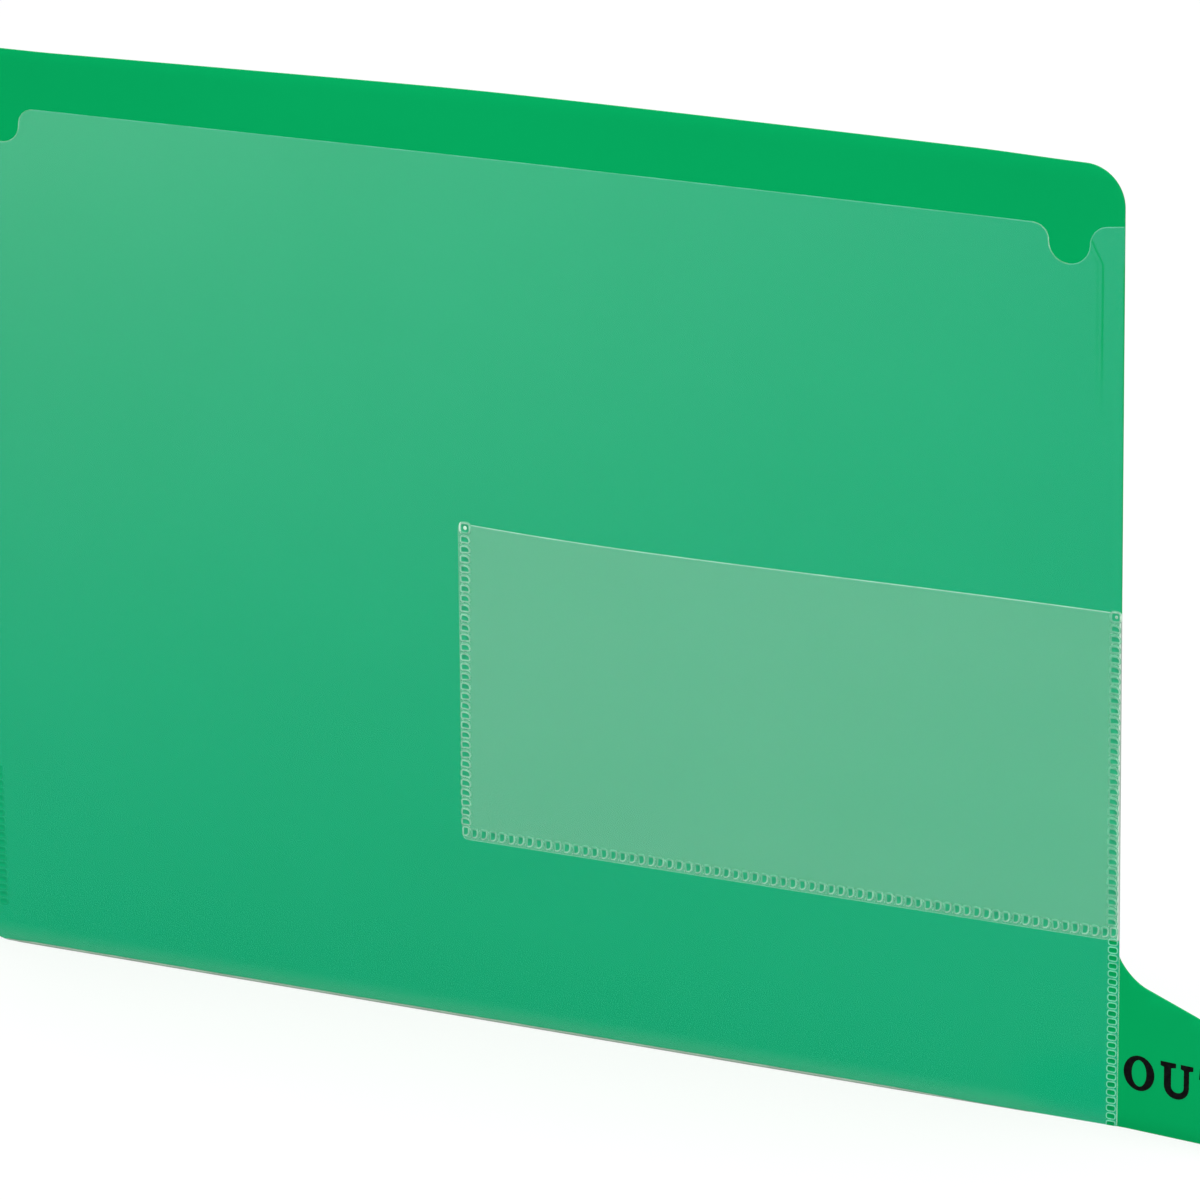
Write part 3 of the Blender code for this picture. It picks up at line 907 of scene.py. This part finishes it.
class OUTGUIDE_OT_foot_welds(bpy.types.Operator):
    """Press the rows of weld marks at the foot of the large film"""

    bl_idname = "out_guide.foot_welds"
    bl_label = "Foot welds"

    def execute(self, context):
        sheet = context.scene.out_guide_sheet
        pocket = context.scene.out_guide_large_pocket
        weld = context.scene.out_guide_weld
        chance = random.Random(11)
        mark = weld_mark("foot_mark", weld.foot_across, weld.foot_along, FOOT_RADII, weld.foot_rim, weld.rise)
        faint = {LIT_RIM: FAINT_RIM, WINDOW: FAINT_WINDOW, SHADED_SLOPE: FAINT_WINDOW}
        bm = bmesh.new()
        z = weld.foot_first
        while z < CARD_FOOT - ROW_CLEARANCE:
            x = RIGHT - weld.foot_low + z / CARD_FOOT * (weld.foot_low - weld.foot_high)
            stamp(bm, mark, x, FILM_FACE, z, chance.uniform(*FOOT_TURN), chance.uniform(*FOOT_SCATTER))
            if z > sheet.corner:
                stamp(bm, mark, FILM_LEFT + weld.left_inset, FILM_FACE, z, chance.uniform(*FAINT_TURN),
                      layers=faint)
            z += weld.foot_pitch
        cut(bm, (0.0, 0.0, FLOOR_CLEARANCE), (0.0, 0.0, 1.0), clear_inner=True)
        bmesh.ops.holes_fill(bm, edges=[edge for edge in bm.edges if edge.is_boundary], sides=0)
        settle(sheet, bm, pocket.bow_depth)
        # The rims' crests carry a painted highlight and their slopes painted shade
        piece = finish_piece("foot_welds", bm, [
            solid_plastic("foot_rim", weld.foot_lit_rim, 0.18, *RIM_LOOK),
            solid_plastic("foot_window", weld.foot_tint, 0.12, *WINDOW_LOOK),
            solid_plastic("foot_slope", weld.foot_slope, 0.10, *RIM_LOOK),
            solid_plastic("faint_rim", weld.faint_lit_rim, 0.05, *RIM_LOOK),
            solid_plastic("faint_window", weld.faint_tint, 0.05, *WINDOW_LOOK),
        ], clear=True)
        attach(piece, "guide")
        return {"FINISHED"}


# The two corner marks: side, size, the spot's shift and size, and the spot's parts that change
CORNER_MARKS = ((-1.0, 1.0, 0.05 * MM, 1.0, None), (1.0, 0.95, 0.22 * MM, 0.85, {HIGHLIGHT: LIT_RIM}))
SPOT_RISE = 0.05 * MM

# How far out a corner mark's rim takes the painted highlight, and how far in its crest takes the painted
# shade
CORNER_HIGHLIGHT, CORNER_SHADE = 1.2 * MM, 0.9 * MM

# Marks at the lower corners: inset from the left row and from the sheet's edge, rise over the row, size
LOW_LEFT_INSET, LOW_RIGHT_INSET, LOW_RISE, LOW_SIZE = 0.1 * MM, 0.57 * MM, 0.3 * MM, 0.95


class OUTGUIDE_OT_card_welds(bpy.types.Operator):
    """Press the rows of weld marks round the card pocket"""

    bl_idname = "out_guide.card_welds"
    bl_label = "Card pocket welds"

    def execute(self, context):
        sheet = context.scene.out_guide_sheet
        pocket = context.scene.out_guide_large_pocket
        weld = context.scene.out_guide_weld
        chance = random.Random(5)
        mark = weld_mark("card_mark", weld.card_across, weld.card_along, CARD_RADII, weld.card_rim, weld.rise)
        corner = weld_mark("corner_mark", weld.corner_size, weld.corner_size, CORNER_RADII,
                           weld.corner_rim, weld.rise * CORNER_LIFT)
        spot = raised_spot("corner_spot", SPOT_RADIUS, weld.rise * CORNER_LIFT, HIGHLIGHT)
        line = raised_line("press_line", LINE_SIZE, weld.rise, LIT_RIM)
        dent_shade = raised_line("press_dent", DENT_SIZE, weld.rise * DENT_LIFT, SHADED_DENT)
        bm = bmesh.new()

        def press(x, z, turn, lit):
            """One mark of a row, its rim in the painted highlight where it is lit and in painted shade
            elsewhere, with the lines and the dent in painted shade beside it.
            """
            turn += chance.uniform(*CARD_TURN)
            for face in stamp(bm, mark, x, CARD_FACE, z, turn, chance.uniform(*CARD_SCATTER)):
                place = face.calc_center_median()
                if face.material_index == LIT_RIM and not lit(place.x - x, place.z - z):
                    face.material_index = SHADED_SLOPE
            sine, cosine = math.sin(turn), math.cos(turn)
            below = -(weld.card_along / 2.0 + weld.card_rim * DENT_PLACE)
            stamp(bm, dent_shade, x + sine * below, CARD_FACE, z + cosine * below, turn,
                  chance.uniform(*DENT_SCATTER))
            below *= LINE_DROP
            for side in LINE_SIDES:
                lean = turn + math.copysign(chance.uniform(*LINE_LEAN), side)
                reach = side * chance.uniform(*LINE_REACH)
                stamp(bm, line, x + sine * below + cosine * reach, CARD_FACE,
                      z + cosine * below - sine * reach, lean, chance.uniform(*LINE_SCATTER),
                      {LIT_RIM: chance.choice((LIT_RIM, SHADED_SLOPE))})

        top, foot = CARD_MOUTH - weld.corner_drop, CARD_FOOT + weld.row_height
        for side, size, shift, spot_size, layers in CORNER_MARKS:
            x = CARD_LEFT + weld.left_high if side < 0.0 else RIGHT - weld.right_inset
            for face in stamp(bm, corner, x, CARD_FACE, top, size=size):
                place = face.calc_center_median()
                across, up = place.x - x, place.z - top
                if across * side > CORNER_HIGHLIGHT:
                    face.material_index = HIGHLIGHT
                elif face.material_index == LIT_RIM and max(across, up) < CORNER_SHADE:
                    face.material_index = SHADED_SLOPE
            stamp(bm, spot, x + shift, CARD_FACE, top + SPOT_RISE, size=spot_size, layers=layers)
        z = top - weld.corner_step
        while z > foot + weld.card_pitch:
            part = (top - z) / (top - foot)
            press(CARD_LEFT + weld.left_high - part * (weld.left_high - weld.left_low), z, 0.0,
                  lambda across, up: True)
            press(RIGHT - weld.right_inset, z, 0.0, lambda across, up: across > RIGHT_ROW_LIT)
            z -= weld.card_pitch
        x = CARD_LEFT + weld.row_start
        while x < RIGHT - weld.card_pitch:
            press(x, foot, math.pi / 2.0, lambda across, up: across > BOTTOM_ROW_LIT * up)
            x += weld.card_pitch
        for x in (CARD_LEFT + weld.left_low - LOW_LEFT_INSET, RIGHT - LOW_RIGHT_INSET):
            stamp(bm, mark, x, CARD_FACE, foot + LOW_RISE, math.pi / 2.0, LOW_SIZE)
        settle(sheet, bm, pocket.bow_depth)
        # Rims and spots carry painted highlights, slopes and dents painted shade
        piece = finish_piece("card_welds", bm, [
            solid_plastic("card_rim", weld.card_lit_rim, 0.18, *RIM_LOOK),
            solid_plastic("card_window", weld.card_tint, 0.14, *WINDOW_LOOK),
            solid_plastic("card_slope", weld.card_slope, 0.14, *RIM_LOOK),
            solid_plastic("bright_spot", weld.bright, 0.12, *RIM_LOOK),
            solid_plastic("press_dent", weld.dent_shade, 0.15, *RIM_LOOK),
        ], clear=True)
        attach(piece, "guide")
        return {"FINISHED"}


# The foot bead's start as a share of the corner, its growth at the left from a head start, its run-out at
# the right, and shares of its full radius: the least, and the range that it wavers in
BEAD_START = 0.9
BEAD_HEAD, BEAD_GROWTH, BEAD_RUN_OUT = 0.3, 12.0 * MM, 45.0 * MM
BEAD_LEAST, BEAD_SCATTER = 0.2, (0.88, 1.0)


class OUTGUIDE_OT_foot_bead(bpy.types.Operator):
    """Model the fused bead along the lower edge of the large film, its grey tint partly painted shade along
    the foot
    """

    bl_idname = "out_guide.foot_bead"
    bl_label = "Foot bead"

    def execute(self, context):
        sheet = context.scene.out_guide_sheet
        pocket = context.scene.out_guide_large_pocket
        chance = random.Random(3)
        radius = pocket.foot_bead
        start, end = LEFT + sheet.corner * BEAD_START, RIGHT - pocket.bead_stop
        bm = bmesh.new()
        turn = Matrix.Translation((start, FILM_FACE, radius)) @ Matrix.Rotation(math.pi / 2.0, 4, "Y")
        bmesh.ops.create_circle(bm, cap_ends=True, segments=10, radius=radius * BEAD_LEAST, matrix=turn)
        faces, inner = bm.faces[:], []
        for place in steps(start, end, GRID) + [end]:
            verts, faces = extrude(bm, faces)
            bmesh.ops.delete(bm, geom=inner, context="FACES_ONLY")
            inner = faces
            middle = sum((vert.co for vert in verts), Vector()) / len(verts)
            reach = max((vert.co - middle).length for vert in verts)
            grown = smooth_step(BEAD_HEAD + (place - start) / BEAD_GROWTH)
            taper = smooth_step((end - place) / BEAD_RUN_OUT) * grown
            wanted = radius * max(BEAD_LEAST, taper * chance.uniform(*BEAD_SCATTER))
            bmesh.ops.translate(bm, verts=verts, vec=(place - middle.x, 0.0, wanted - middle.z))
            middle.x, middle.z = place, wanted
            bmesh.ops.scale(bm, verts=verts, vec=[wanted / reach] * 3, space=Matrix.Translation(-middle))
        bmesh.ops.recalc_face_normals(bm, faces=bm.faces[:])
        # Grey tint: partly the bead's colour, partly painted shade along the foot
        piece = finish_piece("foot_bead", bm, [
            solid_plastic("fused_bead", pocket.bead_tint, 0.10, 120.0, 0.4)], 60.0)
        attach(piece, "guide")
        return {"FINISHED"}


def letter_face(corners, segments):
    """Flat face of a letter from (x, z, radius) corners in millimetres."""
    return flat_face([(x * MM, z * MM, radius * MM) for x, z, radius in corners], 0.0, segments)


def letter_o(cap):
    """Ring of the O, wider at its sides than at its top and foot."""
    bm = bmesh.new()
    width, height = 4.17, cap * 0.505
    upright = Matrix.Translation((width * MM, 0.0, cap / 2.0 * MM)) @ Matrix.Rotation(math.pi / 2.0, 4, "X")
    for across, along in ((width, height), (1.98, height - 1.15)):
        size = Matrix.Diagonal((across * MM, along * MM, 1.0, 1.0))
        bmesh.ops.create_circle(bm, cap_ends=False, segments=48, radius=1.0, matrix=upright @ size)
    bmesh.ops.bridge_loops(bm, edges=bm.edges[:])
    return bm


def letter_u(cap):
    """The U: a heavy and a light stem with slab serifs."""
    slab = cap - 1.17
    neck = slab - 0.25
    return letter_face([
        (0.0, cap, 0.1), (0.0, slab, 0.1), (0.95, neck, 0.2), (0.95, -0.2, 3.3), (7.75, -0.2, 3.3),
        (7.75, neck, 0.2), (8.85, slab, 0.1), (8.85, cap, 0.1), (5.45, cap, 0.1), (5.45, slab, 0.1),
        (6.3, neck, 0.2), (6.3, 1.5, 1.6), (2.9, 1.5, 1.6), (2.9, neck, 0.2), (4.2, slab, 0.1),
        (4.2, cap, 0.1)], 6)


def letter_t(cap):
    """The T: a stem on a slab, with flared ends to its arms, from its right half."""
    width = 8.4
    half = [(6.4, 0.0, 0.1), (6.4, 1.0, 0.1), (5.25, 1.25, 0.2), (5.25, cap - 1.1, 0.3),
            (6.7, cap - 1.2, 0.6), (7.75, cap - 2.9, 0.1), (8.4, cap - 2.9, 0.1), (8.15, cap, 0.1)]
    return letter_face(half + [(width - x, z, radius) for x, z, radius in reversed(half)], 4)


# The letters with their starts from the body's edge, the widest letter, how finely they are cut, and the
# ink's depth as a multiple of its thickness over the sheet
LETTERS = ((letter_o, 2.26 * MM), (letter_u, 12.2 * MM), (letter_t, 22.6 * MM))
LETTER_WIDTH, LETTER_GRID = 9.0 * MM, 0.75 * MM
INK_SINK = 1.5


class OUTGUIDE_OT_tab_legend(bpy.types.Operator):
    """Print the plain word OUT on the tab"""

    bl_idname = "out_guide.tab_legend"
    bl_label = "Tab legend"

    def execute(self, context):
        sheet = context.scene.out_guide_sheet
        legend = context.scene.out_guide_legend
        bm = bmesh.new()
        for draw, start in LETTERS:
            letter = draw(legend.cap / MM)
            score(letter, "X", steps(0.0, LETTER_WIDTH, LETTER_GRID))
            bmesh.ops.translate(letter, verts=letter.verts[:],
                                vec=(RIGHT + start, SHEET_FACE - legend.print_depth, legend.baseline))
            thicken(letter, legend.print_depth * INK_SINK)
            settle(sheet, letter, 0.0)
            mesh = keep_mesh("letter", letter)
            bm.from_mesh(mesh)
            bpy.data.meshes.remove(mesh)
        piece = finish_piece("tab_legend", bm, [
            solid_plastic("black_ink", legend.ink, 0.3, 900.0, 0.55, 0.0)])
        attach(piece, "guide")
        return {"FINISHED"}


# The floor's half side and drop, and the squared distances between which it turns to plain white
FLOOR_HALF, FLOOR_DROP = 20.0, 0.05 * MM
FLOOR_FADE = (0.1, 1.6)

# The lamps: name, size and place, all aimed at one point
LAMPS = (("front", (1.8, 1.2), (0.8, -2.2, 0.4)),
         ("top", (2.4, 2.4), (0.0, -0.3, 2.4)),
         ("back", (1.8, 1.2), (-0.6, 2.4, 0.7)))
LAMP_AIM = Vector((0.0, 0.0, 0.1))


class OUTGUIDE_OT_stage(bpy.types.Operator):
    """Set up the camera, the floor and the light"""

    bl_idname = "out_guide.stage"
    bl_label = "Stage"

    def execute(self, context):
        stage = context.scene.out_guide_stage
        self.place_camera(context, stage)
        self.lay_floor(stage)
        self.hang_lamps(stage)
        self.light_sky(context, stage)
        context.scene.view_settings.view_transform = "Standard"
        return {"FINISHED"}

    def place_camera(self, context, stage):
        """Aim the camera as the photograph was taken."""
        view = bpy.data.cameras.new("camera")
        view.sensor_width = 36.0
        view.lens = stage.lens
        view.clip_start, view.clip_end = 0.05, 60.0
        camera = add_object("camera", view)
        camera.matrix_world = (Matrix.Translation((RIGHT - stage.aim_in, 0.0, stage.aim_z))
                               @ Matrix.Rotation(stage.azimuth, 4, "Z")
                               @ Matrix.Rotation(math.pi / 2.0 - stage.elevation, 4, "X")
                               @ Matrix.Rotation(stage.roll, 4, "Z")
                               @ Matrix.Translation((0.0, 0.0, stage.distance)))
        context.scene.camera = camera

    def lay_floor(self, stage):
        """A pale floor that shows as white and keeps a soft shadow."""
        bm = bmesh.new()
        bmesh.ops.create_grid(bm, x_segments=8, y_segments=8, size=FLOOR_HALF)
        bmesh.ops.translate(bm, verts=bm.verts[:], vec=(0.0, 0.0, -FLOOR_DROP))
        finish = new_finish("floor")
        seen = finish.seen()
        shown = finish.vary(finish.noise(3.0), [stage.floor_tone] * 3, 0.01)
        finish.set(Base_Color=finish.mix(seen, [stage.floor_bounce] * 3, shown), Roughness=0.9,
                   Specular_IOR_Level=0.0)
        across, back = finish.axis("X"), finish.axis("Y")
        far = finish.sums("MULTIPLY_ADD", across, across, finish.sums("MULTIPLY", back, back))
        glow = finish.sums("MULTIPLY", seen, finish.spread(far, *FLOOR_FADE, stage.floor_glow, 1.0))
        white = finish.feed(finish.node("ShaderNodeEmission"), Strength=1.0)
        mixed = finish.node("ShaderNodeMixShader")
        for source, socket in zip((glow, finish.shader.outputs[0], white), mixed.inputs):
            finish.join(source, socket)
        finish.join(mixed.outputs[0], finish.tree.nodes["Material Output"].inputs["Surface"])
        mesh = keep_mesh("floor", bm)
        mesh.materials.append(finish.owner)
        floor = add_object("floor", mesh)

    def hang_lamps(self, stage):
        """A low soft lamp in front, a wide one overhead and one behind."""
        for name, size, place in LAMPS:
            lamp = bpy.data.lights.new(name + "_lamp", "AREA")
            lamp.shape = "RECTANGLE"
            lamp.size, lamp.size_y = size
            lamp.energy = getattr(stage, name)
            hung = add_object(lamp.name, lamp)
            turn = (LAMP_AIM - Vector(place)).to_track_quat("-Z", "Y")
            hung.matrix_world = Matrix.Translation(place) @ turn.to_matrix().to_4x4()
            hung.visible_camera = False

    def light_sky(self, context, stage):
        """Even light all round, seen as white."""
        finish = Finish(bpy.data.worlds.new("sky"), "Background")
        finish.set(Color=(1.0, 1.0, 1.0, 1.0),
                   Strength=finish.spread(finish.seen(), 0.0, 1.0, stage.sky, 1.0))
        context.scene.world = finish.owner


class OUTGUIDE_PT_panel(bpy.types.Panel):
    """The out guide's pieces and settings"""

    bl_idname = "OUTGUIDE_PT_panel"
    bl_label = "Out Guide"
    bl_space_type = "VIEW_3D"
    bl_region_type = "UI"
    bl_category = "Out Guide"

    def draw(self, context):
        for operator in OPERATORS:
            self.layout.operator(operator.bl_idname)
        for name, group in SETTINGS:
            box = self.layout.box()
            box.label(text=group.__doc__)
            for field in group.__annotations__:
                box.prop(getattr(context.scene, name), field)


OPERATORS = (OUTGUIDE_OT_green_sheet, OUTGUIDE_OT_large_film, OUTGUIDE_OT_card_film,
             OUTGUIDE_OT_foot_welds, OUTGUIDE_OT_card_welds, OUTGUIDE_OT_foot_bead,
             OUTGUIDE_OT_tab_legend, OUTGUIDE_OT_stage)
SETTINGS = (("out_guide_sheet", SheetSettings), ("out_guide_large_pocket", LargePocketSettings),
            ("out_guide_card_pocket", CardPocketSettings), ("out_guide_weld", WeldSettings),
            ("out_guide_legend", LegendSettings), ("out_guide_stage", StageSettings))


def register():
    """Add the settings, the operators and the panel."""
    for name, group in SETTINGS:
        bpy.utils.register_class(group)
        setattr(bpy.types.Scene, name, bpy.props.PointerProperty(type=group))
    for operator in OPERATORS:
        bpy.utils.register_class(operator)
    bpy.utils.register_class(OUTGUIDE_PT_panel)


def unregister():
    """Take the panel, the operators and the settings away again."""
    bpy.utils.unregister_class(OUTGUIDE_PT_panel)
    for operator in reversed(OPERATORS):
        bpy.utils.unregister_class(operator)
    for name, group in reversed(SETTINGS):
        delattr(bpy.types.Scene, name)
        bpy.utils.unregister_class(group)


def main():
    """Make every piece and the stage."""
    register()
    bpy.ops.out_guide.green_sheet()
    bpy.ops.out_guide.large_film()
    bpy.ops.out_guide.card_film()
    bpy.ops.out_guide.foot_welds()
    bpy.ops.out_guide.card_welds()
    bpy.ops.out_guide.foot_bead()
    bpy.ops.out_guide.tab_legend()
    bpy.ops.out_guide.stage()


if __name__ == "__main__":
    main()
